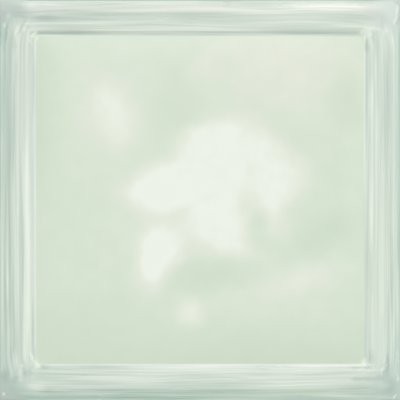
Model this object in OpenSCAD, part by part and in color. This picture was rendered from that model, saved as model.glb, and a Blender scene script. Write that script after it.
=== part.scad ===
// Ceramic wall tile with a bevelled border moulding round a pillowed panel.
// One pressed piece: a square-edged body, a border whose crest turns the corners in an
// arc, a groove inside the border, a panel with softly rolled edges, and a ribbed back.
// It lies face up on its back, centred on the origin.

/* [Tile] */
// Width across the face, along X
tile_w = 200; // [120:1:300]
// Length across the face, along Y
tile_l = 200; // [120:1:300]
// Thickness from the back to the crest of the border
tile_t = 8.5; // [7:0.1:12]
// Chamfer round the lower edge of the sides
back_chamfer = 0.8; // [0.3:0.1:1.5]

/* [Border] */
// Width of the outer bevel, from the tile's edge to its crest
bevel_w = 6; // [4:0.1:7]
// Angle of the outer bevel below the level crest
bevel_angle = 18; // [8:1:20]
// Radius of the roll that blends the bevel into the crest
crest_roll_r = 8; // [3:0.5:12]
// Radius of the crest's outline where it turns a corner
crest_corner_r = 8; // [4:0.5:10]
// Width of the level crest
crest_w = 7.5; // [5:0.1:12]
// Width of the inner slope, from the crest down to the groove
slope_w = 4; // [3.5:0.1:7]
// Depth of the groove below the crest
groove_depth = 0.95; // [0.5:0.05:1.5]
// Radius of the hollow at the foot of the inner slope
groove_r = 2.5; // [1:0.5:3]
// Width of the groove's level bottom
groove_w = 0.5; // [0.3:0.1:1]

/* [Panel] */
// Height of the panel's level middle above the groove
panel_rise = 0.85; // [0.4:0.05:1.2]
// Width of the roll that rises from the groove to the level middle
panel_roll_w = 14; // [6:1:24]

/* [Back] */
// Number of pockets between the ribs, along each side
pocket_count = 8; // [4:2:12]
// Width of the ribs between the pockets, at the back plane
rib_w = 4; // [3:0.5:6]
// Depth of the pockets
pocket_depth = 0.6; // [0.3:0.1:1]
// Slope of the pockets' walls from the vertical, in degrees
pocket_draft = 35; // [10:5:50]
// Plain margin round the pockets
back_margin = 10; // [6:1:20]

/* [Hidden] */
// Facets of a full turn, for the border's corners.
$fn = 96;
// How far a cutting shape runs past what it cuts.
overlap = 1;
// Largest turn, in degrees, between two flats of a curved section.
arc_step = 2;

// Where the crest's outline starts to turn a corner, measured from the tile's edge.
corner_inset = bevel_w + crest_corner_r;
// The inner slope is an S of two arcs that meet at this angle.
slope_angle = 2 * atan(groove_depth / slope_w);
slope_roll_r = slope_w / sin(slope_angle) - groove_r;
// The panel's roll is one arc, level at its inner end.
panel_inset = bevel_w + crest_w + slope_w + groove_w;
panel_roll_r = (panel_roll_w * panel_roll_w + panel_rise * panel_rise) / (2 * panel_rise);
groove_z = tile_t - groove_depth;

// A 2D section, drawn across X and up Y, made into a bar along Y, or along X when turned.
module bar_along_y(length) {
    translate([0, length / 2, 0]) rotate([90, 0, 0]) linear_extrude(length) children();
}

module bar_along_x(length) {
    rotate(90) bar_along_y(length) children();
}

// Two bars crossed, each a little longer than the other is wide, so that the sections
// alone give the outline. Child 0 is the section across X, child 1 the one across Y.
module crossed_bars(width, length) {
    intersection() {
        bar_along_y(length + 2 * overlap) children(0);
        bar_along_x(width + 2 * overlap) children(1);
    }
}

// The body before its face is formed: straight sides, chamfered at the back.
module blank_section(width) {
    half = width / 2;
    polygon([[-half + back_chamfer, 0], [half - back_chamfer, 0], [half, back_chamfer],
             [half, tile_t + overlap], [-half, tile_t + overlap], [-half, back_chamfer]]);
}

module blank() {
    crossed_bars(tile_w, tile_l) {
        blank_section(tile_w);
        blank_section(tile_l);
    }
}

// Points of an arc, from one angle to another; first = 1 leaves out the starting point.
function arc(centre, radius, from, to, first = 0) =
    let (steps = ceil(abs(to - from) / arc_step))
    [for (i = [first:steps]) let (angle = from + (to - from) * i / steps)
        centre + radius * [cos(angle), sin(angle)]];

// Half section of the bevel: x runs outward from the crest corner's centre, y is height.
// It carries on past the straight sides, far enough to reach the tile's sharp corners.
module bevel_section() {
    roll_centre = [crest_corner_r, tile_t - crest_roll_r];
    roll_end = roll_centre + crest_roll_r * [sin(bevel_angle), cos(bevel_angle)];
    end_x = corner_inset * sqrt(2) + overlap;
    end_y = roll_end.y - (end_x - roll_end.x) * tan(bevel_angle);
    polygon(concat([[0, tile_t], [0, 0], [end_x, 0], [end_x, end_y]],
                   arc(roll_centre, crest_roll_r, 90 - bevel_angle, 90)));
}

// Everything under the bevel and the crest: four quarter turns, four sides and a middle.
module bevelled_form() {
    mid_w = tile_w - 2 * corner_inset;
    mid_l = tile_l - 2 * corner_inset;
    translate([-mid_w / 2, -mid_l / 2, 0]) cube([mid_w, mid_l, tile_t]);
    for (side = [0, 180]) rotate(side) {
        translate([mid_w / 2, 0, 0]) bar_along_y(mid_l) bevel_section();
        translate([0, mid_l / 2, 0]) bar_along_x(mid_w) bevel_section();
        translate([mid_w / 2, mid_l / 2, 0]) rotate_extrude(angle = 90) bevel_section();
        translate([-mid_w / 2, mid_l / 2, 0]) rotate(90)
            rotate_extrude(angle = 90) bevel_section();
    }
}

// The hollow inside the border: level at the groove, with an S-shaped slope at each side,
// which is a roll off the crest and a hollow foot.
module tray_section(span) {
    edge_x = span / 2;
    foot_x = edge_x - slope_w;
    roll = arc([edge_x, tile_t - slope_roll_r], slope_roll_r, 90, 90 + slope_angle);
    foot = arc([foot_x, groove_z + groove_r], groove_r, slope_angle - 90, -90, 1);
    for (side = [0, 1]) mirror([side, 0])
        polygon(concat([[0, tile_t + overlap], [edge_x, tile_t + overlap]], roll, foot,
                       [[0, groove_z]]));
}

module tray() {
    span_w = tile_w - 2 * (bevel_w + crest_w);
    span_l = tile_l - 2 * (bevel_w + crest_w);
    crossed_bars(span_w, span_l) {
        tray_section(span_w);
        tray_section(span_l);
    }
}

// The panel stands in the tray: an arc up from the groove on each side, level between.
module panel_section(width) {
    edge_x = width / 2;
    level_z = groove_z + panel_rise;
    roll = arc([edge_x - panel_roll_w, level_z - panel_roll_r], panel_roll_r,
               90 - asin(panel_roll_w / panel_roll_r), 90);
    for (side = [0, 1]) mirror([side, 0])
        polygon(concat([[0, groove_z - overlap], [edge_x, groove_z - overlap]], roll,
                       [[0, level_z]]));
}

module panel() {
    panel_w = tile_w - 2 * panel_inset;
    panel_l = tile_l - 2 * panel_inset;
    crossed_bars(panel_w, panel_l) {
        panel_section(panel_w);
        panel_section(panel_l);
    }
}

// A row of keying pockets cut up into the back, each wider at its mouth.
module pocket_section(width) {
    pitch = (width - 2 * back_margin + rib_w) / pocket_count;
    mouth = pitch - rib_w;
    wall_run = pocket_depth * tan(pocket_draft);
    for (i = [0:pocket_count - 1])
        translate([back_margin - width / 2 + i * pitch, 0])
            polygon([[0, -overlap], [mouth, -overlap], [mouth, 0],
                     [mouth - wall_run, pocket_depth], [wall_run, pocket_depth], [0, 0]]);
}

// Crossed rows leave a square net of ribs, with a rib through the middle both ways.
module back_pockets() {
    crossed_bars(tile_w, tile_l) {
        pocket_section(tile_w);
        pocket_section(tile_l);
    }
}

module tile() {
    color("honeydew") {
        difference() {
            intersection() {
                blank();
                bevelled_form();
            }
            tray();
            back_pockets();
        }
        panel();
    }
}

tile();
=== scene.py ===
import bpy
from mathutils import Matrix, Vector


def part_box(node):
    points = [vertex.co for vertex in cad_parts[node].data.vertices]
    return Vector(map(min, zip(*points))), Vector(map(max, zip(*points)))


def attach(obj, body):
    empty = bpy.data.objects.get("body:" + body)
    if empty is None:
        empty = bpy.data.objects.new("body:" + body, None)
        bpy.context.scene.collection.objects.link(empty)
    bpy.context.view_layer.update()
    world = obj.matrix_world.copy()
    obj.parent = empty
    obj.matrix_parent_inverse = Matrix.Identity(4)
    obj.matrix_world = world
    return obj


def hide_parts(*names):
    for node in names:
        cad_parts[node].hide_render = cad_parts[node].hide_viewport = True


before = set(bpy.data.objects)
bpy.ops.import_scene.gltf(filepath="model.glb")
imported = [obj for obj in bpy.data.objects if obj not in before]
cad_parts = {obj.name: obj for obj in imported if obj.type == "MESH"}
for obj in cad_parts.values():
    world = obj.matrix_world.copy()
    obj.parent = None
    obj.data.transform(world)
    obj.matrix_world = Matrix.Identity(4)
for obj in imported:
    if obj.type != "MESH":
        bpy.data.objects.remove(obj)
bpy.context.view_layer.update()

import math

import bpy
import numpy as np

# ---------------------------------------------------------------------------------------
# The view: straight down on the tile from far away, with its outline filling the frame.

MM = 0.001
tile_low, tile_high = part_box("tile")
tile_w = (tile_high.x - tile_low.x) / MM
tile_l = (tile_high.y - tile_low.y) / MM
tile_t = (tile_high.z - tile_low.z) / MM

camera_lens = bpy.data.cameras.new("camera")
camera_lens.sensor_width = 36
camera_lens.lens = 300
camera_lens.clip_end = 50
rim_height = 6.8
eye_height = rim_height + tile_w * camera_lens.lens / camera_lens.sensor_width
camera = bpy.data.objects.new("camera", camera_lens)
camera.location = (0, 0, eye_height * MM)
bpy.context.collection.objects.link(camera)
bpy.context.scene.camera = camera
bpy.context.scene.view_settings.view_transform = "Standard"

# ---------------------------------------------------------------------------------------
# The tile: one dust-pressed biscuit of white-firing clay, glazed on its face and fired.
# The die gives the face its border moulding and pillowed panel, and the back its ribs.
# All its sizes are in millimetres until the finished mesh is scaled to metres.

# What the die presses, at the sizes of the solid tile.
bevel_w = 6
bevel_angle = math.radians(18)
crest_roll_r = 8
crest_corner_r = 8
crest_w = 7.5
slope_w = 4
groove_depth = 0.95
groove_r = 2.5
groove_w = 0.5
panel_rise = 0.85
panel_roll_w = 14
back_chamfer = 0.8
pocket_count = 8
rib_w = 4
pocket_depth = 0.6
pocket_draft = math.radians(35)
back_margin = 10
slope_angle = 2 * math.atan(groove_depth / slope_w)
slope_roll_r = slope_w / math.sin(slope_angle) - groove_r
slope_inset = bevel_w + crest_w
panel_inset = slope_inset + slope_w + groove_w
panel_roll_r = (panel_roll_w ** 2 + panel_rise ** 2) / (2 * panel_rise)
pocket_wall_run = pocket_depth * math.tan(pocket_draft)

# What the glaze and the firing add: the rounded arris under the bevel, the eased upright
# corners, and where on the sides the glaze ends and how far it stands out there.
arris_r = 0.4
arris_run = arris_r * (1 - math.sin(bevel_angle))
corner_ease_r = 0.6
glaze_line = 6.8
glaze_thickness = 0.06


def net_lines(span):
    """Places of the net's lines across the pockets, from one margin of the back to the
    other. They lie on both edges of each pocket's walls, and about 1.8 mm apart between."""
    floor_lines = 11
    pitch = (span - 2 * back_margin + rib_w) / pocket_count
    mouth = pitch - rib_w
    places = []
    for i in range(pocket_count):
        start = -span / 2 + back_margin + i * pitch
        places.append(start)
        places += list(start + np.linspace(pocket_wall_run, mouth - pocket_wall_run, floor_lines))
        places += [start + mouth, start + mouth + rib_w / 2]
    places.pop()
    # One more line near each end gives the tile's eased corners enough points.
    corner_line = span / 2 - back_margin - pocket_wall_run / 2
    return np.array([places[0], -corner_line] + places[1:-1] + [corner_line, places[-1]])


# The rows of points that run round the tile, as inset from the side and height: out over
# the back's margin, up the side, round the arris, and in over the border and the roll.
# They are 0.3 mm apart on the border, where the glaze ripples.
back_rows = [(inset, 0) for inset in (7, 4, 2, 1.2, back_chamfer + glaze_thickness)]
side_rows = [(glaze_thickness, z) for z in (back_chamfer, 2.6, 4.6, 6.0, 6.5, glaze_line - 0.05)]
glazed_rows = [(0, z) for z in (glaze_line, 7.2, 7.7, 8.1)]
arris_insets = arris_run * (1 - np.cos(np.linspace(0, math.pi / 2, 7)))
border_insets = np.linspace(0.5, slope_inset, 42)
slope_insets = np.linspace(slope_inset, panel_inset, 19)[1:]
roll_foot_insets = panel_inset + np.array([0.3, 0.65, 1.1, 1.7, 2.5])
roll_insets = panel_inset + np.linspace(3.5, panel_roll_w - 1, 9)
for insets in (arris_insets, border_insets, slope_insets, roll_foot_insets, roll_insets):
    glazed_rows += [(inset, tile_t) for inset in insets]
panel_net_inset = panel_inset + panel_roll_w


def blank():
    """The unpressed slab, as one closed net: a grid on the back's pockets, a grid on the
    panel, and between them the rows that run round the tile, mitred at its corners."""
    size = np.array([tile_w, tile_l]) / 2
    across, along = net_lines(tile_w), net_lines(tile_l)
    u, v = across / across[-1], along / along[-1]
    nu, nv = len(u), len(v)

    # Points: the two grids, and then the rows, on a square that follows the grids' edges.
    grid = np.stack(np.meshgrid(u, v, indexing="ij"), -1).reshape(-1, 2)
    square = np.concatenate([
        np.column_stack([u[:-1], np.full(nu - 1, -1)]),
        np.column_stack([np.full(nv - 1, 1), v[:-1]]),
        np.column_stack([u[:0:-1], np.full(nu - 1, 1)]),
        np.column_stack([np.full(nv - 1, -1), v[:0:-1]])])
    points = [np.column_stack([grid * (size - back_margin), np.zeros(nu * nv)]),
              np.column_stack([grid * (size - panel_net_inset), np.full(nu * nv, tile_t)])]
    rows = back_rows + side_rows + glazed_rows
    for inset, z in rows:
        points.append(np.column_stack([square * (size - inset), np.full(len(square), z)]))

    # Faces: the back's grid turned down, a strip from each row to the next, and the panel's.
    index = np.arange(nu * nv).reshape(nu, nv)
    quads = np.stack([index[:-1, :-1], index[1:, :-1], index[1:, 1:], index[:-1, 1:]], -1)
    quads = quads.reshape(-1, 4)
    edge = np.concatenate([index[:-1, 0], index[-1, :-1], index[:0:-1, -1], index[0, :0:-1]])
    loops = [edge]
    for k in range(len(rows)):
        loops.append(2 * nu * nv + k * len(square) + np.arange(len(square)))
    loops.append(edge + nu * nv)
    strips = [np.stack([low, np.roll(low, -1), np.roll(high, -1), high], -1)
              for low, high in zip(loops, loops[1:])]
    faces = np.concatenate([quads[:, ::-1]] + strips + [quads + nu * nv])
    bare_strips = len(back_rows) + len(side_rows)
    bare = np.zeros(len(faces), bool)
    bare[:len(quads) + bare_strips * len(square)] = True
    mesh = bpy.data.meshes.new("blank")
    mesh.from_pydata(np.concatenate(points).tolist(), [], faces.tolist())
    mesh.attributes.new("bare_clay", "BOOLEAN", "FACE").data.foreach_set("value", bare)
    return mesh


def linear(hex_colour):
    """A colour written as sRGB hex, such as "D7E3D4", as the linear values Blender takes."""
    parts = [int(hex_colour[i:i + 2], 16) / 255 for i in (0, 2, 4)]
    return [p / 12.92 if p <= 0.04045 else ((p + 0.055) / 1.055) ** 2.4 for p in parts] + [1]


def add(tree, kind, inputs=(), stops=(), **settings):
    """Add a node with its settings. Its inputs, by order or by name, are linked where they
    are a node or a socket, and set where they are a value. Stops are those of a ramp, each
    a place with a colour or a level of grey."""
    node = tree.nodes.new(kind)
    for name, value in settings.items():
        setattr(node, name, value)
    named = inputs.items() if isinstance(inputs, dict) else enumerate(inputs)
    for key, value in named:
        if isinstance(value, bpy.types.Node):
            value = next(socket for socket in value.outputs if socket.enabled)
        if isinstance(value, bpy.types.NodeSocket):
            tree.links.new(value, node.inputs[key])
        else:
            node.inputs[key].default_value = value
    for number, (place, tone) in enumerate(stops):
        ramp = node.color_ramp.elements
        stop = ramp[number] if number < 2 else ramp.new(place)
        stop.position = place
        stop.color = linear(tone) if isinstance(tone, str) else (tone, tone, tone, 1)
    return node


# How the glaze ran along the mouldings when it melted: noise drawn out along each side in
# threads, with finer threads among them. They sway a little, where the moulding leaves
# them room on both sides, and lean in towards the panel's corners at their ends.
mouldings_w = slope_inset + slope_w
thread_habits = {
    "upright": {"width": 2.8, "sway": 0.9, "lean": 2.0, "fine share": 0.5, "seed": 7.0},
    "level": {"width": 4.0, "sway": 1.8, "lean": 0.6, "fine share": 0.4, "seed": 19.0},
}
thread_length = 120
fine_thread_width = 0.9
fine_thread_length = 55
thread_curl = 0.7
thread_tones = (
    (0.30, 0.0), (0.44, 0.40), (0.455, 0.15), (0.47, 0.45), (0.53, 0.55), (0.545, 0.85),
    (0.56, 0.60), (0.70, 1.0))
sway_width = 14
sway_length = 70
lean_from, lean_to = 24, 9
threads_fade_from, threads_fade_to = 22, 12


def threads(tree, pair, across, along):
    """The threads on a pair of sides, upright or level, at so many mm across the tile and
    along the side. It gives where a point lies among the bands across the moulding, how
    white its thread is, from 0 to 1, and how far the side's near end is."""
    habit = thread_habits[pair]
    span, length = (tile_w, tile_l) if pair == "upright" else (tile_l, tile_w)
    inset = add(tree, "ShaderNodeMath", [across], operation="ABSOLUTE")
    inset = add(tree, "ShaderNodeMath", [span / 2, inset], operation="SUBTRACT")
    end = add(tree, "ShaderNodeMath", [along], operation="ABSOLUTE")
    end = add(tree, "ShaderNodeMath", [length / 2, end], operation="SUBTRACT")
    half = add(tree, "ShaderNodeMath", [across], operation="SIGN")
    seed = add(tree, "ShaderNodeMath", [half, habit["seed"]], operation="MULTIPLY")

    def drawn_out(place, width, length, **noise):
        """Noise drawn out along the side, in grains of this width and length."""
        where = add(tree, "ShaderNodeCombineXYZ", [
            add(tree, "ShaderNodeMath", [place, width], operation="DIVIDE"),
            add(tree, "ShaderNodeMath", [along, length], operation="DIVIDE"),
            seed])
        return add(tree, "ShaderNodeTexNoise", {"Vector": where, "Scale": 1.0, **noise})

    sway = drawn_out(inset, sway_width, sway_length, Detail=1.0)
    sway = add(tree, "ShaderNodeMapRange",
               {"Value": sway, "To Min": -habit["sway"], "To Max": habit["sway"]})
    lean = add(tree, "ShaderNodeMapRange", {
        "Value": end, "From Min": lean_from, "From Max": lean_to, "To Max": -habit["lean"]},
        interpolation_type="SMOOTHSTEP")
    shift = add(tree, "ShaderNodeMath", [sway, lean], operation="ADD")
    inner = add(tree, "ShaderNodeMath", [mouldings_w, inset], operation="SUBTRACT")
    room = add(tree, "ShaderNodeMath", [inset, inner], operation="MULTIPLY")
    room = add(tree, "ShaderNodeMapRange", {"Value": room, "From Min": 10.0, "From Max": 60.0},
               interpolation_type="SMOOTHSTEP")
    band = add(tree, "ShaderNodeMath", [shift, room, inset], operation="MULTIPLY_ADD")
    broad = drawn_out(band, habit["width"], thread_length, Detail=0.0, Distortion=thread_curl)
    broad = add(tree, "ShaderNodeValToRGB", [broad], stops=thread_tones)
    fine = drawn_out(band, fine_thread_width, fine_thread_length, Detail=2.0,
                     Distortion=thread_curl)
    fine = add(tree, "ShaderNodeMapRange", {"Value": fine, "From Min": 0.3, "From Max": 0.7})
    thread = add(tree, "ShaderNodeMix", {"Factor": habit["fine share"], "A": broad, "B": fine})
    return band, thread, end


def finish(name):
    """A new material, with its tree and its shader."""
    material = bpy.data.materials.new(name)
    material.use_nodes = True
    return material, material.node_tree, material.node_tree.nodes["Principled BSDF"]


# The glaze: a gloss tile glaze, poured over the biscuit as it passed under a curtain of it,
# and melted in the kiln. It gives the eye a smooth wet shine. Where it lies thin it is
# whiter, where it lies thick it is greener, and on the panel it clouds.
glaze, coat, shine = finish("clouded_glaze")
shine.inputs["IOR"].default_value = 1.5

to_side = add(coat, "ShaderNodeAttribute", attribute_name="to_side").outputs["Fac"]
spot = add(coat, "ShaderNodeTexCoord").outputs["Object"]
spot = add(coat, "ShaderNodeVectorMath", {"Vector": spot, "Scale": 1 / MM}, operation="SCALE")
spot = add(coat, "ShaderNodeSeparateXYZ", [spot]).outputs
flat_spot = add(coat, "ShaderNodeCombineXYZ", [spot["X"], spot["Y"]])
is_right = add(coat, "ShaderNodeMath", [spot["X"], 0.0], operation="GREATER_THAN")
is_top = add(coat, "ShaderNodeMath", [spot["Y"], 0.0], operation="GREATER_THAN")

# How white the glaze lies across each moulding: inset from the tile's edge, and whiteness,
# from 0 at its thickest to 1. It drained to one side, so no two are alike. Some stops are
# painted light and shade as well: the dark stops at the rim are partly painted shade,
# darkest at the top, and the pale stop at the bottom's rim is painted light over the
# arris's shade; the dark stop about 16.5 mm in is partly painted shade in the groove, and
# the pale stop about 17.8 mm in is partly a painted highlight on the panel's edge. The casts
# are inset and hue in the same way, from 0, green, to 1, which is a little pink. On the top
# and bottom sides they are partly the light's tint painted in: pinker where a slope faces
# the window, greener where it faces away.
bands = {
    "left": ((0.2, 0.58), (0.8, 0.78), (1.5, 0.68), (2.7, 0.51), (3.3, 0.68), (4.8, 0.62),
        (5.6, 0.54), (7.0, 0.62), (8.4, 0.76), (9.8, 0.68), (10.7, 0.64), (13.8, 0.90),
        (15.4, 0.73), (16.6, 0.66), (17.8, 0.88), (18.7, 0.70)),
    "right": ((0.2, 0.44), (0.5, 0.60), (1.8, 0.67), (2.3, 0.59), (3.3, 0.73), (4.4, 0.63),
        (6.0, 0.65), (6.9, 0.58), (8.2, 0.78), (9.4, 0.74), (10.1, 0.70), (11.0, 0.76),
        (12.7, 0.83), (14.6, 0.88), (16.8, 0.71), (17.8, 0.84), (19.0, 0.79)),
    "bottom": ((0.2, 0.87), (0.6, 0.56), (1.3, 0.52), (3.0, 0.72), (4.5, 0.55), (5.7, 0.50),
        (7.2, 0.70), (9.6, 0.66), (11.2, 0.73), (13.8, 0.78), (15.2, 0.71), (16.5, 0.60),
        (17.2, 0.80), (17.8, 0.99), (18.6, 0.70)),
    "top": ((0.2, 0.0), (0.6, 0.62), (1.8, 0.71), (3.0, 0.70), (4.7, 0.70), (5.9, 0.69),
        (6.8, 0.69), (8.5, 0.62), (10.5, 0.72), (12.0, 0.82), (13.0, 0.77), (15.2, 0.88),
        (16.2, 0.66), (17.2, 0.62), (17.9, 0.72), (18.7, 0.82)),
}
casts = {
    "left": ((0.2, 0.27), (2.0, 0.41), (6.0, 0.53), (13.0, 0.55)),
    "right": ((0.2, 0.28), (2.0, 0.40), (4.5, 0.51), (6.0, 0.50), (13.0, 0.43)),
    "bottom": ((0.2, 0.08), (2.0, 0.20), (4.5, 0.30), (6.5, 0.53), (13.0, 0.52), (15.5, 0.62)),
    "top": ((0.3, 0.45), (1.5, 0.72), (4.0, 0.82), (5.5, 0.70), (7.0, 0.53), (13.0, 0.56),
        (16.0, 0.43)),
}
band_reach = 20
thread_whiteness = {"upright": 0.22, "level": 0.31}
thread_lead = 8.0
corner_from, corner_to = 16.0, 8.0
corner_whiteness = {
    "bottom left": 0.53, "bottom right": 0.56, "top left": 0.50, "top right": 0.64}
inner_corner_whiteness = 0.17
inner_from, inner_to = 8.0, 16.0
# The top corners' pinker cast and the bottom corners' greener one are partly the light's tint
# painted in.
corner_casts = {"bottom": 0.38, "top": 0.56}

# In the corners there are no bands and few threads: the glaze is plain there, and whiter
# further in from the side.
corners = [add(coat, "ShaderNodeMix", {
    "Factor": is_right, "A": corner_whiteness[level + " left"],
    "B": corner_whiteness[level + " right"]}) for level in ("bottom", "top")]
corner_white = add(coat, "ShaderNodeMix", {"Factor": is_top, "A": corners[0], "B": corners[1]})
inner_white = add(coat, "ShaderNodeMapRange", {
    "Value": to_side, "From Min": inner_from, "From Max": inner_to,
    "To Max": inner_corner_whiteness}, interpolation_type="SMOOTHSTEP")
corner_white = add(coat, "ShaderNodeMath", [corner_white, inner_white], operation="ADD")
corner_cast = add(coat, "ShaderNodeMix", {
    "Factor": is_top, "A": corner_casts["bottom"], "B": corner_casts["top"]})

# Each pair of sides in turn. Its bands end from 16 to 8 mm off the corner, and a whiter
# thread runs up to 4 mm further in.
side_white = {}
side_cast = {}
side_thread = {}
side_end = {}
for pair, across, along, is_far, near, far in (
        ("upright", "X", "Y", is_right, "left", "right"),
        ("level", "Y", "X", is_top, "bottom", "top")):
    band, thread, end = threads(coat, pair, spot[across], spot[along])
    band = add(coat, "ShaderNodeMath", [band, band_reach], operation="DIVIDE")
    across_band = []
    for rows in (bands, casts):
        either = [add(coat, "ShaderNodeValToRGB", [band],
                      stops=[(inset / band_reach, level) for inset, level in rows[side]])
                  for side in (near, far)]
        across_band.append(
            add(coat, "ShaderNodeMix", {"Factor": is_far, "A": either[0], "B": either[1]}))
    white, cast = across_band
    streak = add(coat, "ShaderNodeMapRange", {
        "Value": thread, "To Min": -thread_whiteness[pair], "To Max": thread_whiteness[pair]})
    streak_end = add(coat, "ShaderNodeMapRange", {
        "Value": end, "From Min": threads_fade_to, "From Max": threads_fade_from},
        interpolation_type="SMOOTHSTEP")
    white = add(coat, "ShaderNodeMath", [streak, streak_end, white], operation="MULTIPLY_ADD")
    run_end = add(coat, "ShaderNodeMath", [thread, 0.5], operation="SUBTRACT")
    run_end = add(coat, "ShaderNodeMath", [run_end, thread_lead, end],
                  operation="MULTIPLY_ADD")
    run_end = add(coat, "ShaderNodeMapRange",
                  {"Value": run_end, "From Min": corner_to, "From Max": corner_from},
                  interpolation_type="SMOOTHSTEP")
    side_white[pair] = add(coat, "ShaderNodeMix",
                           {"Factor": run_end, "A": corner_white, "B": white})
    side_cast[pair] = add(coat, "ShaderNodeMix", {"Factor": run_end, "A": corner_cast, "B": cast})
    side_thread[pair] = thread
    side_end[pair] = end

# The level sides' threads meet the upright sides' at ragged mitres, where a whiter thread
# reaches up to 6 mm further.
mitre_lead = 6.0
lead = add(coat, "ShaderNodeMath", [side_end["level"], side_end["upright"]],
           operation="SUBTRACT")
whiter = add(coat, "ShaderNodeMath", [side_thread["level"], side_thread["upright"]],
             operation="SUBTRACT")
lead = add(coat, "ShaderNodeMath", [whiter, mitre_lead, lead], operation="MULTIPLY_ADD")
lead = add(coat, "ShaderNodeMapRange", {"Value": lead, "From Min": -1.0, "From Max": 1.0},
           interpolation_type="SMOOTHSTEP")
white = add(coat, "ShaderNodeMix",
            {"Factor": lead, "A": side_white["upright"], "B": side_white["level"]})
cast = add(coat, "ShaderNodeMix",
           {"Factor": lead, "A": side_cast["upright"], "B": side_cast["level"]})


def lay(patches, where, onto=0.0, clamp=False):
    """Soft oval patches, each added to what is there. A patch is the x and y of its centre,
    half its width and height, its weight, which it has in full at its centre only, and its
    turn in degrees, where it has one."""
    for x, y, half_w, half_h, weight, *turn in patches:
        place = add(coat, "ShaderNodeMapping", {
            "Vector": where, "Location": (x, y, 0), "Scale": (half_w, half_h, patch_depth),
            "Rotation": (0, 0, math.radians(turn[0]) if turn else 0)}, vector_type="TEXTURE")
        patch = add(coat, "ShaderNodeTexGradient", {"Vector": place}, gradient_type="SPHERICAL")
        patch = add(coat, "ShaderNodeMapRange", {"Value": patch.outputs["Fac"], "To Max": weight},
                    interpolation_type="SMOOTHSTEP")
        onto = add(coat, "ShaderNodeMath", [onto, patch], operation="ADD", use_clamp=clamp)
    return onto


def moved(where, grain, reach):
    """Places moved by noise of so many mm grain, up to half the reach each way. It makes the
    outlines of the patches that are laid there ragged."""
    noise = add(coat, "ShaderNodeTexNoise", {"Vector": where, "Scale": 1 / grain, "Detail": 2.0})
    move = add(coat, "ShaderNodeVectorMath", [noise.outputs["Color"], (0.5, 0.5, 0.5)],
               operation="SUBTRACT")
    move = add(coat, "ShaderNodeVectorMath", {"Vector": move, "Scale": reach}, operation="SCALE")
    return add(coat, "ShaderNodeVectorMath", [where, move], operation="ADD")


# Longer runs and pools lie along the sides. A run is whiter, and a pool, whose weight is
# below 0, is thicker and greener. The patches reach through the tile's whole thickness.
# Three small white patches at the top right and bottom left corners are painted
# highlights on the tile's rounded edge, marked below.
patch_depth = 1000
pools_and_glints = (
    (-60, 93.5, 48, 4.5, -0.28),
    (38, 92.5, 54, 5, 0.30),
    (55, 96.7, 30, 2.4, 0.08),
    (0, 86.7, 42, 2.4, 0.14),
    (57, 84, 34, 2.4, -0.25),
    (-25, 95.8, 42, 2.4, -0.16),
    (66, 94.8, 16, 1.2, 0.15),
    (-72, 88.8, 24, 1.4, -0.14),
    (-66, 85.6, 18, 1.4, -0.18),
    (15, 85.2, 32, 1.6, 0.12),
    (-64, 83.6, 26, 2.2, -0.25),
    (-91, 94.5, 10, 6, -0.10, -10),
    # The next two are a painted highlight on the top right corner's rounded edge.
    (98.6, 94, 1.4, 6, 0.20),
    (97.5, 89.6, 3.6, 1.3, 0.20, 62),
    (99.7, 95, 0.9, 6, -0.16),
    (95, 99.8, 8, 0.8, -0.20),
    (95, 80, 6, 9, 0.12),
    (94, 50, 1.5, 34, -0.10),
    (98.8, -53, 2, 34, 0.22),
    (97, -53, 1.2, 30, 0.12),
    (88.3, 10, 1.4, 85, 0.14),
    (85.3, 66, 2.2, 20, -0.25),
    (85.4, -6, 1.4, 36, 0.24),
    (83.2, 50, 1.6, 40, -0.16),
    (96.7, -66, 1, 14, 0.15),
    (93.6, 75, 1.3, 18, 0.13),
    (87.6, 66, 1.1, 14, 0.15),
    (93, -84, 5, 9, -0.16),
    (95, -93, 5, 7, -0.14),
    (50, -99.7, 50, 0.9, -0.27),
    (70, -97.8, 24, 1.4, 0.26, -2),
    (-70, -98, 26, 2.4, -0.24),
    (-30, -98.4, 60, 1.2, -0.14),
    (-44, -95.2, 28, 2, -0.24),
    (48, -92.8, 42, 4.5, 0.26),
    (-60, -91.2, 42, 2.4, -0.24),
    (-55, -86.4, 32, 1.6, -0.22),
    (15, -86.8, 22, 1.6, 0.18),
    (-8, -83.8, 52, 2.6, 0.32),
    (84, -89.4, 10, 2, -0.20),
    (-70, -85.4, 22, 1.3, -0.16),
    (70, -84.6, 18, 2.4, -0.15),
    (15, -82.6, 36, 1.3, 0.15),
    (42, -87.4, 16, 1.3, 0.12),
    (-15, -91, 18, 1.5, -0.13),
    (-82, -94, 7, 3.5, 0.24, -5),
    # A painted highlight on the bottom left corner's rounded tip.
    (-98.2, -97, 1.4, 1.4, 0.45),
    (-99.5, 84, 1.2, 9, -0.16),
    (-98.4, 55, 2.4, 40, -0.18),
    (-97.8, 25, 1.1, 40, -0.12),
    (-95.8, -42, 1.1, 16, 0.18),
    (-91.8, 66, 1.3, 16, -0.16),
    (-85.2, -84, 1.6, 9, -0.12),
    (-82.4, -78, 1.2, 9, -0.22),
    (-96.8, -28, 1.6, 36, 0.20),
    (-95.4, -20, 1.2, 50, -0.14),
    (-94.5, -67, 2.2, 18, 0.14),
    (-92.7, 38, 2.6, 50, -0.24),
    (-91, -38, 2.2, 46, 0.22),
    (-87, -84, 2.4, 9, -0.16),
    (-86.5, 0, 1.3, 50, 0.10),
    (-84.4, -25, 1.4, 64, 0.16),
    (-83.4, -66, 1.6, 22, -0.14),
)
white = lay(pools_and_glints, flat_spot, white)
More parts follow.
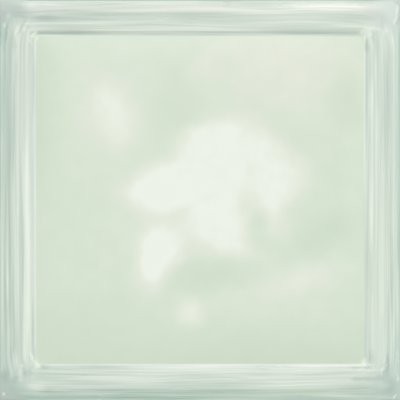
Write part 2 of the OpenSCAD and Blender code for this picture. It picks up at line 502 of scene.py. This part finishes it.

# Where the threads of two sides meet, the glaze dragged in short ragged strokes. Two
# small white strokes by the bottom right corner are painted highlights, marked below.
dragged_spot = moved(flat_spot, 2.2, 2.4)
corner_strokes_and_glints = (
    (-87.2, 86.5, 6, 1.4, 0.24, 62),
    (-91.6, 84.5, 5.5, 1.6, 0.16, 66),
    (-89.4, 85.5, 5, 1.2, -0.20, 64),
    (-84.8, 79.4, 2.8, 1.2, 0.20, -62),
    (-97.7, 87.6, 1.2, 1.8, 0.35),
    (-97, 84.5, 1.2, 7, -0.20),
    (82.9, 83.2, 3.6, 4.2, 0.24),
    (87, 85.5, 7, 1.6, 0.14, -8),
    (86.4, 82, 1, 4, -0.16),
    (-84, -83.8, 3, 2.4, -0.10),
    (-89.7, -87, 1.4, 5.5, 0.14),
    (-88.6, -82.4, 1.6, 1.4, 0.22),
    (-85.6, -86.6, 5, 2.4, -0.14),
    (86, -84.9, 6.5, 1.4, 0.12),
    (86.4, -87.3, 7, 1.3, 0.10, -3),
    (91.6, -84.4, 4, 1.3, 0.26, 62),
    (93.8, -82, 1.7, 9, -0.18),
    # The next two are painted highlights on the rounded edge by the bottom right corner.
    (98.8, -89, 1, 2.4, 0.28),
    (97.4, -98.5, 2, 1.1, 0.36, 45),
    (-98.8, 90.5, 2.4, 6, -0.18),
    (-82, 98.6, 20, 2.4, 0.14),
    (-77, 91, 9, 4, -0.12),
    (-92.6, 87, 2.4, 7, 0.16),
    (-86.5, 86.8, 2.2, 2.4, -0.16),
    (-92.5, 77.5, 2, 6, -0.18),
    (80, 99, 12, 2.4, -0.18),
    (99.2, 91, 1.8, 5, -0.28),
    (81.5, 83.6, 3.6, 1.8, 0.26),
    (92.6, 85, 2.4, 5, 0.22),
    (83.5, 76.5, 2.2, 5, -0.20),
    (-92.6, -80, 2.2, 7, 0.20),
    (-97.5, -87, 4, 6, -0.18),
    (-79, -82.5, 6, 4.5, -0.22),
    (-92.5, -89.5, 3, 2.6, -0.14),
    (99, 99, 2.5, 2.5, -0.20),
    (86.5, -86.8, 6, 2.4, -0.14),
    (83.5, -83.4, 2.4, 1.8, -0.16),
    (98.6, -78, 1.6, 6, 0.14),
    (92.4, -80.5, 1.8, 4, 0.14),
    (-98.8, 81, 1.8, 9, -0.14),
    (-95.5, 92.5, 2, 2.4, 0.12),
    (85.5, -79, 3.6, 6, -0.18),
    (78, -83.6, 6, 1.8, -0.20),
    (78, -89.6, 4, 1.8, -0.18),
    (89.6, -88.6, 2.6, 2.4, -0.18),
    (89, -98.6, 11, 2.2, 0.18),
    (93, -92.6, 5, 2.2, 0.12),
)
white = lay(corner_strokes_and_glints, dragged_spot, white)
border = add(coat, "ShaderNodeValToRGB", [white], stops=(
    (0.0, "A0AEA4"), (0.45, "BACABF"), (0.58, "C6D5C9"), (0.70, "D1DDD1"), (0.82, "DAE5D8"),
    (1.0, "E9F1E7")))

# The panel: white glaze gathered in a cloud, whose patches run together, over broad lighter
# and darker places, darker along the bottom. A mottle 9 mm wide lies over both, and some
# places are a little warmer.
stirred_spot = moved(flat_spot, 14, 7.0)
cloud_patches = (
    (9, 12, 44, 42, 1.0),
    (44, 12, 24, 24, 0.68, -20),
    (18, 33, 24, 20, 0.5, -10),
    (-2, 30, 19, 14, 0.38, 35),
    (-22, 7, 33, 17, 0.8, 8),
    (-20, 0, 22, 11, 0.35, -5),
    (12, -18, 26, 22, 0.75),
    (38, -9, 15, 24, 0.5, 10),
    (28, -12, 9, 14, -0.32, 15),
    (-19, -22, 22, 22, 0.85),
    (-22, -35, 14, 20, 0.6),
    (-5, -57, 16, 14, 0.62),
    (28, -27, 22, 8, 0.2, -10),
    (-29, -38, 13, 14, 0.35),
    (-27, -6, 12, 8, 0.18),
    (-1, -11, 12, 13, 0.22),
    (35, 27, 14, 14, 0.28),
)
ground_patches = (
    (10, 75, 120, 50, 0.12),
    (45, 64, 64, 44, 0.16, -20),
    (-48, 42, 38, 46, 0.18, 20),
    (-42, 40, 19, 23, 0.30, 12),
    (-48, 53, 15, 15, 0.14, 40),
    (-30, -12, 40, 44, 0.12),
    (-12, 52, 22, 34, -0.15),
    (-84, 50, 20, 70, -0.28),
    (73, 50, 16, 24, -0.32, 10),
    (64, -16, 30, 14, -0.36, 20),
    (5, -38, 32, 13, -0.34, 5),
    (52, -39, 34, 12, 0.28, 15),
    (-65, -66, 60, 26, -0.30),
    (30, -74, 90, 26, -0.26),
    (84, -75, 24, 40, -0.26),
    (0, 65, 14, 12, 0.12),
    (30, -48, 70, 30, 0.12),
)
warm_patches = (
    (35, 80, 120, 64, 0.7),
    (60, 66, 60, 50, 0.6),
    (-50, 40, 36, 52, 0.3, 15),
    (20, -55, 60, 24, 0.25),
)
cloud = lay(cloud_patches, stirred_spot)
clouding = add(coat, "ShaderNodeMapRange", {
    "Value": cloud, "From Min": 0.02, "From Max": 0.95, "To Min": 0.42, "To Max": 0.99},
    interpolation_type="SMOOTHSTEP")
clouding = lay(ground_patches, stirred_spot, clouding)
mottle_size = 9
mottle_strength = 0.12
mottle = add(coat, "ShaderNodeTexNoise",
             {"Vector": flat_spot, "Scale": 1 / mottle_size, "Detail": 1.0})
mottle = add(coat, "ShaderNodeMapRange",
             {"Value": mottle, "To Min": -mottle_strength, "To Max": mottle_strength})
clouding = add(coat, "ShaderNodeMath", [clouding, mottle], operation="ADD")
panel_tone = add(coat, "ShaderNodeValToRGB", [clouding], stops=(
    (0.0, "CFDECB"), (0.3, "D5E2CF"), (0.5, "DAE6D4"), (0.68, "E1E9DA"), (0.85, "E7EEE0"),
    (1.0, "EEF4E9")))
panel_cast = lay(warm_patches, stirred_spot, clamp=True)
panel_cast = add(coat, "ShaderNodeMapRange", {"Value": panel_cast, "To Min": 0.5, "To Max": 0.63})

def tinted(colour, share, low_tint, high_tint):
    """A colour turned by a tint between the two, by as much as that differs from mid grey."""
    tint = add(coat, "ShaderNodeMix", {0: share, 6: low_tint, 7: high_tint}, data_type="RGBA")
    return add(coat, "ShaderNodeMix", {0: 1.0, 6: colour, 7: tint}, data_type="RGBA",
               blend_type="LINEAR_LIGHT")


# Border and panel meet in the groove, and the cast is laid over both.
groove_middle = 18.15
groove_blend = 0.25
on_panel = add(coat, "ShaderNodeMapRange", {
    "Value": to_side, "From Min": groove_middle - groove_blend,
    "From Max": groove_middle + groove_blend}, interpolation_type="SMOOTHSTEP")
colour = add(coat, "ShaderNodeMix", {0: on_panel, 6: border, 7: panel_tone}, data_type="RGBA")
cast = add(coat, "ShaderNodeMix", {"Factor": on_panel, "A": cast, "B": panel_cast})
green_tint = (0.462, 0.5, 0.488, 1)
pink_tint = (0.538, 0.5, 0.512, 1)
colour = tinted(colour, cast, green_tint, pink_tint)

# The glaze turns a little bluer at the outer corners and yellower in places along the sides.
# A weight above 0 is for bluer glaze, and one below 0 for yellower.
hue_patches = (
    (-90, 96, 28, 14, 0.17),
    (-98, 88, 5, 14, 0.18),
    (94, 91, 16, 18, 0.32),
    (-96, -92, 14, 16, 0.20),
    (96, -89, 13, 19, 0.30),
    (0, -84.5, 60, 5, 0.20),
    (48, -95.5, 40, 3.5, -0.40),
    (-10, -97, 70, 5, -0.15),
    (-74, -93, 8, 4, -0.25),
    (90, -20, 16, 75, -0.26),
    (80, 86.5, 11, 4, -0.28),
    (-85, -58, 6, 28, -0.38),
    (-97, -20, 5, 80, -0.18),
    (-50, 85, 34, 4.5, -0.22),
    (-92, 84.5, 12, 4, -0.22),
    (-40, 80.5, 60, 2.5, 0.30),
)
yellow_tint = (0.496, 0.5, 0.484, 1)
blue_tint = (0.504, 0.5, 0.516, 1)
colour = tinted(colour, lay(hue_patches, flat_spot, 0.5), yellow_tint, blue_tint)

# White spots at the panel's corners, where the glaze pools, some with a short tail along a
# side: they are painted highlights.
corner_glints = (
    (-83, 82.7, 3.4, 1.5, 0.9, 52),
    (-81.3, 81.2, 2.6, 1.2, 0.7, 75),
    (83.3, 81.8, 1.6, 1.3, 0.7),
    (-84.1, -78.2, 4.2, 1.1, 0.7, -70),
    (-81.4, -81.8, 3.6, 1.9, 0.9, -50),
    (81.7, -80.9, 3.2, 1.6, 0.9, 45),
)
drop = lay(corner_glints, dragged_spot, clamp=True)
colour = add(coat, "ShaderNodeMix", {0: drop, 6: colour, 7: linear("E8F4E6")}, data_type="RGBA")

# On the walls the glaze ran down in curtains 5 mm wide and about seven times as long, and
# ends in a thick, green roll. Heights are those on the blank, before the rim is pressed.
curtain_width = 5
curtain_draw = 0.15
roll_top = 7.9
wall_top = 8.49
wall_full = 8.0
wall_height = add(coat, "ShaderNodeAttribute", attribute_name="blank_height").outputs["Fac"]
curtain_z = add(coat, "ShaderNodeMath", [spot["Z"], curtain_draw], operation="MULTIPLY")
curtain = add(coat, "ShaderNodeCombineXYZ", [spot["X"], spot["Y"], curtain_z])
curtain = add(coat, "ShaderNodeTexNoise",
              {"Vector": curtain, "Scale": 1 / curtain_width, "Detail": 2.0})
wall_white = add(coat, "ShaderNodeMapRange", {
    "Value": wall_height, "From Min": glaze_line, "From Max": roll_top,
    "To Min": -0.35, "To Max": 0.25})
wall_white = add(coat, "ShaderNodeMath", [wall_white, curtain], operation="ADD")
wall_tone = add(coat, "ShaderNodeValToRGB", [wall_white], stops=(
    (0.1, "B4C6B7"), (0.45, "C8D8CA"), (0.75, "D8E4D6"), (0.95, "E6EEE3")))
on_wall = add(coat, "ShaderNodeMapRange",
              {"Value": wall_height, "From Min": wall_top, "From Max": wall_full},
              interpolation_type="SMOOTHSTEP")
colour = add(coat, "ShaderNodeMix", {0: on_wall, 6: colour, 7: wall_tone}, data_type="RGBA")
coat.links.new(colour.outputs[2], shine.inputs["Base Color"])

# Its gloss varies in patches 18 mm wide. A faint skin like orange peel, 2.5 mm from dimple
# to dimple, breaks up what it mirrors.
glossiest = 0.07
dullest = 0.16
gloss_patch = 18
skin_dimple = 2.5
gloss = add(coat, "ShaderNodeTexNoise",
            {"Vector": flat_spot, "Scale": 1 / gloss_patch, "Detail": 2.0})
gloss = add(coat, "ShaderNodeMapRange", {
    "Value": gloss, "From Min": 0.3, "From Max": 0.7, "To Min": glossiest, "To Max": dullest})
coat.links.new(gloss.outputs[0], shine.inputs["Roughness"])
skin = add(coat, "ShaderNodeTexNoise",
           {"Vector": flat_spot, "Scale": 1 / skin_dimple, "Detail": 2.0})
skin = add(coat, "ShaderNodeBump", {"Height": skin, "Distance": 0.01 * MM, "Strength": 0.6})
coat.links.new(skin.outputs[0], shine.inputs["Normal"])

# The biscuit: white-firing clay, pressed in the die as dry dust and fired. It gives the eye
# a matt, off-white, slightly uneven body, with a fine grain. The ribs are rubbed paler where
# the tile stood, and a mist of glaze lies on the walls.
biscuit, clay, chalk = finish("biscuit")
chalk.inputs["IOR"].default_value = 1.5
# The grain of such dust is about 0.2 mm, too fine to show, so it is drawn coarser.
grain_size = 0.6
firing_patch = 28
clay_spot = add(clay, "ShaderNodeTexCoord").outputs["Object"]
clay_spot = add(clay, "ShaderNodeVectorMath", {"Vector": clay_spot, "Scale": 1 / MM},
                operation="SCALE")
clay_height = add(clay, "ShaderNodeSeparateXYZ", [clay_spot]).outputs["Z"]
firing = add(clay, "ShaderNodeTexNoise",
             {"Vector": clay_spot, "Scale": 1 / firing_patch, "Detail": 3.0})
grain = add(clay, "ShaderNodeTexNoise",
            {"Vector": clay_spot, "Scale": 1 / grain_size, "Detail": 3.0})
clay_tone = add(clay, "ShaderNodeMix", {"Factor": 0.3, "A": firing, "B": grain})
clay_tone = add(clay, "ShaderNodeValToRGB", [clay_tone], stops=(
    (0.32, "CFC7B9"), (0.5, "DCD5C8"), (0.68, "E5E0D5")))

# Only what stands close to the back's plane is rubbed, in scuffs 7 mm wide.
rub_depth = 0.08
scuff_size = 7
rubbed = add(clay, "ShaderNodeMapRange",
             {"Value": clay_height, "From Min": rub_depth, "From Max": 0.0})
scuffs = add(clay, "ShaderNodeTexNoise", {
    "Vector": clay_spot, "Scale": 1 / scuff_size, "Detail": 6.0, "Roughness": 0.65})
scuffs = add(clay, "ShaderNodeMapRange",
             {"Value": scuffs, "From Min": 0.40, "From Max": 0.70, "To Max": 0.7})
rubbed = add(clay, "ShaderNodeMath", [rubbed, scuffs], operation="MULTIPLY")
clay_tone = add(clay, "ShaderNodeMix", {0: rubbed, 6: clay_tone, 7: linear("F0EDE6")},
                data_type="RGBA")

# The mist lies in ragged specks 3 mm wide, is thickest at the glaze's line, and is smoother
# than the clay.
speck_size = 3
mist_raggedness = 6.0
mist_from, mist_to = 8.2, 9.8
mist_height = add(clay, "ShaderNodeAttribute", attribute_name="blank_height").outputs["Fac"]
mist = add(clay, "ShaderNodeTexNoise",
           {"Vector": clay_spot, "Scale": 1 / speck_size, "Detail": 3.0})
mist = add(clay, "ShaderNodeMath", [mist, mist_raggedness, mist_height],
           operation="MULTIPLY_ADD")
mist = add(clay, "ShaderNodeMapRange",
           {"Value": mist, "From Min": mist_from, "From Max": mist_to, "To Max": 0.8})
clay_tone = add(clay, "ShaderNodeMix", {0: mist, 6: clay_tone, 7: linear("D3DFD3")},
                data_type="RGBA")
clay.links.new(clay_tone.outputs[2], chalk.inputs["Base Color"])
clay_roughness = add(clay, "ShaderNodeMapRange", {"Value": mist, "To Min": 0.85, "To Max": 0.45})
clay.links.new(clay_roughness.outputs[0], chalk.inputs["Roughness"])
clay_grain = add(clay, "ShaderNodeBump",
                 {"Height": grain, "Distance": 0.1 * MM, "Strength": 0.5})
clay.links.new(clay_grain.outputs[0], chalk.inputs["Normal"])

# The die. It moves each point of the blank by its distance from the tile's sides. That
# distance and the point's height on the blank are kept, because the materials follow them.
die = bpy.data.node_groups.new("die", "GeometryNodeTree")
die.interface.new_socket("Geometry", in_out="INPUT", socket_type="NodeSocketGeometry")
die.interface.new_socket("Geometry", in_out="OUTPUT", socket_type="NodeSocketGeometry")
die_sizes = {
    "Tile width": tile_w, "Tile length": tile_l, "Tile thickness": tile_t,
    "Corner inset": bevel_w + crest_corner_r, "Crest corner radius": crest_corner_r,
    "Crest roll radius": crest_roll_r, "Bevel angle": bevel_angle,
    "Slope inset": slope_inset, "Slope angle": slope_angle,
    "Slope roll radius": slope_roll_r, "Groove radius": groove_r,
    "Panel inset": panel_inset, "Panel rise": panel_rise,
    "Panel roll width": panel_roll_w, "Panel roll radius": panel_roll_r,
    "Arris radius": arris_r, "Corner ease radius": corner_ease_r, "Back chamfer": back_chamfer,
    "Back margin": back_margin, "Rib width": rib_w, "Pocket count": pocket_count,
    "Pocket depth": pocket_depth, "Pocket wall run": pocket_wall_run,
    "Slope corner softness": 6, "Panel corner softness": 10,
    "Glaze line": glaze_line, "Glaze line wander": 0.35,
    "Ripple height": 0.08, "Swell height": 0.3,
}
size_sockets = {}
for name in die_sizes:
    size_sockets[name] = die.interface.new_socket(
        name, in_out="INPUT", socket_type="NodeSocketFloat")
given = add(die, "NodeGroupInput").outputs
place = add(die, "ShaderNodeSeparateXYZ", [add(die, "GeometryNodeInputPosition")]).outputs

half = {}
inward = {}
for axis, span in (("X", "Tile width"), ("Y", "Tile length")):
    half[axis] = add(die, "ShaderNodeMath", [given[span], 0.5], operation="MULTIPLY")
    away = add(die, "ShaderNodeMath", [place[axis]], operation="ABSOLUTE")
    inward[axis] = add(die, "ShaderNodeMath", [half[axis], away], operation="SUBTRACT")
to_side = add(die, "ShaderNodeMath", [inward["X"], inward["Y"]], operation="MINIMUM")


def way_in(inset, softness):
    """How far a point lies inside a line that runs so far in from the sides, with its
    mitred corners softened."""
    way = add(die, "ShaderNodeMath", [inward["X"], inward["Y"], softness],
              operation="SMOOTH_MIN")
    way = add(die, "ShaderNodeMath", [way, inset], operation="SUBTRACT")
    return add(die, "ShaderNodeMath", [way, 0.0], operation="MAXIMUM")


def way_out(inset):
    """How far a point lies outside such a line: by X, by Y, and straight, which turns the
    corners in an arc."""
    out = []
    for axis in ("X", "Y"):
        past = add(die, "ShaderNodeMath", [inset, inward[axis]], operation="SUBTRACT")
        out.append(add(die, "ShaderNodeMath", [past, 0.0], operation="MAXIMUM"))
    straight = add(die, "ShaderNodeCombineXYZ", out)
    straight = add(die, "ShaderNodeVectorMath", [straight], operation="LENGTH")
    return out[0], out[1], straight.outputs["Value"]


def arc_drop(radius, run):
    """How far an arc has dropped from its top, at so long a run from there."""
    radius_square = add(die, "ShaderNodeMath", [radius, 2.0], operation="POWER")
    run_square = add(die, "ShaderNodeMath", [run, 2.0], operation="POWER")
    height = add(die, "ShaderNodeMath", [radius_square, run_square], operation="SUBTRACT")
    height = add(die, "ShaderNodeMath", [height], operation="SQRT")
    return add(die, "ShaderNodeMath", [radius, height], operation="SUBTRACT")


# The outer bevel: a roll that leaves the crest, then a straight slope.
bevel_sine = add(die, "ShaderNodeMath", [given["Bevel angle"]], operation="SINE")
bevel_cosine = add(die, "ShaderNodeMath", [given["Bevel angle"]], operation="COSINE")
bevel_tangent = add(die, "ShaderNodeMath", [given["Bevel angle"]], operation="TANGENT")
crest_radius = given["Crest roll radius"]
outside = way_out(given["Corner inset"])[2]
outside = add(die, "ShaderNodeMath", [outside, given["Crest corner radius"]],
              operation="SUBTRACT")
outside = add(die, "ShaderNodeMath", [outside, 0.0], operation="MAXIMUM")
roll_run = add(die, "ShaderNodeMath", [crest_radius, bevel_sine], operation="MULTIPLY")
in_roll = add(die, "ShaderNodeMath", [outside, roll_run], operation="MINIMUM")
past_roll = add(die, "ShaderNodeMath", [outside, in_roll], operation="SUBTRACT")
bevel_drop = add(die, "ShaderNodeMath", [
    past_roll, bevel_tangent, arc_drop(crest_radius, in_roll)], operation="MULTIPLY_ADD")

# The arris: the glaze rounds the edge between the bevel and the side. It drops by as much
# as its arc lies below the bevel's line, with both heights taken from the arc's top.
arris_radius = given["Arris radius"]
arris_side = add(die, "ShaderNodeMath", [arris_radius, bevel_sine], operation="MULTIPLY")
arris_end = add(die, "ShaderNodeMath", [arris_radius, arris_side], operation="SUBTRACT")
in_arris = add(die, "ShaderNodeMath", [to_side, arris_end], operation="MINIMUM")
arris_left = add(die, "ShaderNodeMath", [arris_radius, in_arris], operation="SUBTRACT")
arris_slope = add(die, "ShaderNodeMath", [arris_left, bevel_tangent], operation="MULTIPLY")
line_height = add(die, "ShaderNodeMath", [arris_radius, bevel_cosine], operation="DIVIDE")
line_height = add(die, "ShaderNodeMath", [line_height, arris_radius], operation="SUBTRACT")
line_height = add(die, "ShaderNodeMath", [line_height, arris_slope], operation="SUBTRACT")
arris_drop = add(die, "ShaderNodeMath", [line_height, arc_drop(arris_radius, arris_left)],
                 operation="ADD")

# The inner slope: an arc down from the crest, and a hollow arc that ends in the groove.
slope_sine = add(die, "ShaderNodeMath", [given["Slope angle"]], operation="SINE")
brow_radius = given["Slope roll radius"]
hollow_radius = given["Groove radius"]
in_slope = way_in(given["Slope inset"], given["Slope corner softness"])
brow_run = add(die, "ShaderNodeMath", [brow_radius, slope_sine], operation="MULTIPLY")
in_brow = add(die, "ShaderNodeMath", [in_slope, brow_run], operation="MINIMUM")
brow_drop = arc_drop(brow_radius, in_brow)
hollow_run = add(die, "ShaderNodeMath", [hollow_radius, slope_sine], operation="MULTIPLY")
in_hollow = add(die, "ShaderNodeMath", [in_slope, in_brow], operation="SUBTRACT")
in_hollow = add(die, "ShaderNodeMath", [in_hollow, hollow_run], operation="MINIMUM")
hollow_left = add(die, "ShaderNodeMath", [hollow_run, in_hollow], operation="SUBTRACT")
hollow_drop = add(die, "ShaderNodeMath", [
    arc_drop(hollow_radius, hollow_run), arc_drop(hollow_radius, hollow_left)],
    operation="SUBTRACT")

# The panel's roll: one arc up from the groove, level at its inner end.
in_panel = way_in(given["Panel inset"], given["Panel corner softness"])
in_panel = add(die, "ShaderNodeMath", [in_panel, given["Panel roll width"]], operation="MINIMUM")
panel_left = add(die, "ShaderNodeMath", [given["Panel roll width"], in_panel],
                 operation="SUBTRACT")
panel_short = arc_drop(given["Panel roll radius"], panel_left)
panel_lift = add(die, "ShaderNodeMath", [given["Panel rise"], panel_short], operation="SUBTRACT")

face = given["Tile thickness"]
for drop in (bevel_drop, arris_drop, brow_drop, hollow_drop):
    face = add(die, "ShaderNodeMath", [face, drop], operation="SUBTRACT")
face = add(die, "ShaderNodeMath", [face, panel_lift], operation="ADD")

# The glaze's own relief: low ripples along the threads, which are thicker where they are
# greener, and broad swells on the panel. Both die out near the rim, the groove and corners.
swell_size = 26
swell_fade = 8.0
ripple_from, ripple_to = 0.5, 2.5
ripples = []
for pair, across, along in (("upright", "X", "Y"), ("level", "Y", "X")):
    thread, end = threads(die, pair, place[across], place[along])[1:]
    ripple = add(die, "ShaderNodeMapRange", {"Value": thread, "To Max": -1.0})
    ripple_fade = add(die, "ShaderNodeMapRange", {
        "Value": end, "From Min": threads_fade_to, "From Max": threads_fade_from},
        interpolation_type="SMOOTHSTEP")
    ripples.append(add(die, "ShaderNodeMath", [ripple, ripple_fade], operation="MULTIPLY"))
is_level = add(die, "ShaderNodeMath", [inward["Y"], inward["X"]], operation="LESS_THAN")
ripple = add(die, "ShaderNodeMix", {"Factor": is_level, "A": ripples[0], "B": ripples[1]})
ripple = add(die, "ShaderNodeMath", [ripple, given["Ripple height"]], operation="MULTIPLY")
to_groove = add(die, "ShaderNodeMath", [given["Panel inset"], to_side], operation="SUBTRACT")
for distance in (to_side, to_groove):
    fade = add(die, "ShaderNodeMapRange",
               {"Value": distance, "From Min": ripple_from, "From Max": ripple_to},
               interpolation_type="SMOOTHSTEP")
    ripple = add(die, "ShaderNodeMath", [ripple, fade], operation="MULTIPLY")
face = add(die, "ShaderNodeMath", [face, ripple], operation="ADD")
swell = add(die, "ShaderNodeCombineXYZ", [place["X"], place["Y"]])
swell = add(die, "ShaderNodeTexNoise", {"Vector": swell, "Scale": 1 / swell_size, "Detail": 1.0})
swell = add(die, "ShaderNodeMath", [swell, 0.5], operation="SUBTRACT")
swell = add(die, "ShaderNodeMath", [swell, given["Swell height"]], operation="MULTIPLY")
on_pillow = add(die, "ShaderNodeMapRange", {"Value": in_panel, "From Max": swell_fade},
                interpolation_type="SMOOTHSTEP")
face = add(die, "ShaderNodeMath", [swell, on_pillow, face], operation="MULTIPLY_ADD")

# The sides are drawn down with the rim, and what lies below the chamfer stays.
foot = add(die, "ShaderNodeMath", [place["Z"], given["Back chamfer"]], operation="MINIMUM")
side_height = add(die, "ShaderNodeMath", [face, given["Back chamfer"]], operation="SUBTRACT")
side = add(die, "ShaderNodeMapRange", {
    "Value": place["Z"], "From Min": given["Back chamfer"], "From Max": given["Tile thickness"],
    "To Min": 0.0, "To Max": side_height})
height = add(die, "ShaderNodeMath", [foot, side], operation="ADD")

# The glaze's lower line wanders down from its height every 9 mm or so, and takes with it
# what lies within 1.3 mm above or below.
wander_size = 9
wander_reach = 1.3
off_line = add(die, "ShaderNodeMath", [place["Z"], given["Glaze line"]], operation="SUBTRACT")
off_line = add(die, "ShaderNodeMath", [off_line], operation="ABSOLUTE")
by_line = add(die, "ShaderNodeMapRange",
              {"Value": off_line, "From Min": wander_reach, "From Max": 0.0})
wander = add(die, "ShaderNodeCombineXYZ", [place["X"], place["Y"]])
wander = add(die, "ShaderNodeTexNoise",
             {"Vector": wander, "Scale": 1 / wander_size, "Detail": 2.0})
wander = add(die, "ShaderNodeMapRange", {
    "Value": wander, "From Min": 0.3, "From Max": 0.7, "To Min": -1.0})
wander = add(die, "ShaderNodeMath", [wander, given["Glaze line wander"]], operation="MULTIPLY")
height = add(die, "ShaderNodeMath", [wander, by_line, height], operation="MULTIPLY_ADD")

# The back's pockets, with sloped walls: each axis gives the way in from a pocket's edge.
pocket_inside = []
for axis in ("X", "Y"):
    reach = add(die, "ShaderNodeMath", [half[axis], given["Back margin"]], operation="SUBTRACT")
    ribs_span = add(die, "ShaderNodeMath", [reach, 2.0, given["Rib width"]],
                    operation="MULTIPLY_ADD")
    pitch = add(die, "ShaderNodeMath", [ribs_span, given["Pocket count"]], operation="DIVIDE")
    mouth = add(die, "ShaderNodeMath", [pitch, given["Rib width"]], operation="SUBTRACT")
    step = add(die, "ShaderNodeMath", [place[axis], reach], operation="ADD")
    step = add(die, "ShaderNodeMath", [step, pitch], operation="FLOORED_MODULO")
    rest = add(die, "ShaderNodeMath", [mouth, step], operation="SUBTRACT")
    inside = add(die, "ShaderNodeMath", [step, rest], operation="MINIMUM")
    off_margin = add(die, "ShaderNodeMath", [inward[axis], given["Back margin"]],
                     operation="SUBTRACT")
    pocket_inside.append(add(die, "ShaderNodeMath", [inside, off_margin], operation="MINIMUM"))
inside = add(die, "ShaderNodeMath", pocket_inside, operation="MINIMUM")
sunk = add(die, "ShaderNodeMath", [inside, given["Pocket wall run"]], operation="DIVIDE",
           use_clamp=True)
on_back = add(die, "ShaderNodeMath", [place["Z"], 0.001], operation="LESS_THAN")
sunk = add(die, "ShaderNodeMath", [sunk, on_back], operation="MULTIPLY")
height = add(die, "ShaderNodeMath", [sunk, given["Pocket depth"], height],
             operation="MULTIPLY_ADD")

# The upright corners are eased: each square of points round a corner becomes an arc.
out_x, out_y, straight = way_out(given["Corner ease radius"])
further = add(die, "ShaderNodeMath", [out_x, out_y], operation="MAXIMUM")
shrink = add(die, "ShaderNodeMath", [further, straight], operation="DIVIDE")
shrink = add(die, "ShaderNodeMath", [1.0, shrink], operation="SUBTRACT")
eased = []
for axis, out in (("X", out_x), ("Y", out_y)):
    shift = add(die, "ShaderNodeMath", [out, shrink], operation="MULTIPLY")
    sign = add(die, "ShaderNodeMath", [place[axis]], operation="SIGN")
    shift = add(die, "ShaderNodeMath", [shift, sign], operation="MULTIPLY")
    eased.append(add(die, "ShaderNodeMath", [place[axis], shift], operation="SUBTRACT"))

pressed = add(die, "ShaderNodeCombineXYZ", eased + [height])
in_metres = add(die, "ShaderNodeVectorMath", {"Vector": pressed, "Scale": MM}, operation="SCALE")
shape = given["Geometry"]
for name, value in (("to_side", to_side), ("blank_height", place["Z"])):
    shape = add(die, "GeometryNodeStoreNamedAttribute",
                {"Geometry": shape, "Name": name, "Value": value},
                domain="POINT", data_type="FLOAT")
shape = add(die, "GeometryNodeSetPosition", {"Geometry": shape, "Position": in_metres})
shape = add(die, "GeometryNodeSetShadeSmooth", {"Geometry": shape})
shape = add(die, "GeometryNodeRealizeInstances", {"Geometry": shape})
shape = add(die, "GeometryNodeSetMaterial", {"Geometry": shape, "Material": glaze})
bare_clay = add(die, "GeometryNodeInputNamedAttribute", {"Name": "bare_clay"},
                data_type="BOOLEAN")
shape = add(die, "GeometryNodeSetMaterial",
            {"Geometry": shape, "Selection": bare_clay, "Material": biscuit})
add(die, "NodeGroupOutput", [shape])

# The pressing: the blank goes through the die once, and what comes out is kept as a mesh.
glazed_tile = bpy.data.objects.new("glazed_tile", blank())
bpy.context.collection.objects.link(glazed_tile)
pressing = glazed_tile.modifiers.new("die", "NODES")
pressing.node_group = die
for name, value in die_sizes.items():
    pressing[size_sockets[name].identifier] = value
bpy.context.view_layer.update()
depsgraph = bpy.context.evaluated_depsgraph_get()
pressed_mesh = bpy.data.meshes.new_from_object(
    glazed_tile.evaluated_get(depsgraph), preserve_all_data_layers=True, depsgraph=depsgraph)
glazed_tile.modifiers.clear()
glazed_tile.data = pressed_mesh
sharpest_turn = math.radians(40)
pressed_mesh.set_sharp_from_angle(angle=sharpest_turn)
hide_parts("tile")
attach(glazed_tile, "root")

# ---------------------------------------------------------------------------------------
# The stand and the light: a sheet of matt off-white paper, an even pale surround that is
# brighter toward a window, and one soft lamp on that side.

floor_mesh = bpy.data.meshes.new("floor")
floor_mesh.from_pydata([(-4, -4, 0), (4, -4, 0), (4, 4, 0), (-4, 4, 0)], [], [(0, 1, 2, 3)])
floor = bpy.data.objects.new("floor", floor_mesh)
bpy.context.collection.objects.link(floor)
paper, _, paper_face = finish("pale_paper")
paper_face.inputs["Base Color"].default_value = linear("DADAD8")
paper_face.inputs["Roughness"].default_value = 0.9
floor_mesh.materials.append(paper)

# The surround lights the tile by 0.91, and by up to 0.48 more or less toward the window or
# away from it. It is seen, and mirrored in the glaze, at an even 0.72.
window_turn = math.radians(19)
window_side = (math.sin(window_turn), math.cos(window_turn), 0)
surround_light = 0.91
window_share = 0.48
surround_seen = 0.72
surround = bpy.data.worlds.new("surround")
surround.use_nodes = True
tent = surround.node_tree
looked_at = add(tent, "ShaderNodeTexCoord").outputs["Generated"]
toward_window = add(tent, "ShaderNodeVectorMath", [looked_at, window_side],
                    operation="DOT_PRODUCT").outputs["Value"]
tent_light = add(tent, "ShaderNodeMath", [toward_window, window_share, surround_light],
                 operation="MULTIPLY_ADD")
rays = add(tent, "ShaderNodeLightPath").outputs
seen = add(tent, "ShaderNodeMath", [rays["Is Camera Ray"], rays["Is Glossy Ray"]],
           operation="MAXIMUM")
seen = add(tent, "ShaderNodeMath", [seen, rays["Is Transmission Ray"]], operation="MAXIMUM")
strength = add(tent, "ShaderNodeMix", {"Factor": seen, "A": tent_light, "B": surround_seen})
tent.links.new(strength.outputs[0], tent.nodes["Background"].inputs["Strength"])
tent.nodes["Background"].inputs["Color"].default_value = (1, 1, 1, 1)
bpy.context.scene.world = surround

lamp_light = bpy.data.lights.new("soft_lamp", "AREA")
lamp_light.shape = "SQUARE"
lamp_light.size = 1.8
lamp_light.energy = 17
lamp = bpy.data.objects.new("soft_lamp", lamp_light)
lamp_tilt = math.radians(60)
lamp_distance = 3.0
lamp.rotation_euler = (-lamp_tilt, 0, -window_turn)
lamp.location = (lamp_distance * math.sin(lamp_tilt) * window_side[0],
                 lamp_distance * math.sin(lamp_tilt) * window_side[1],
                 lamp_distance * math.cos(lamp_tilt))
bpy.context.collection.objects.link(lamp)
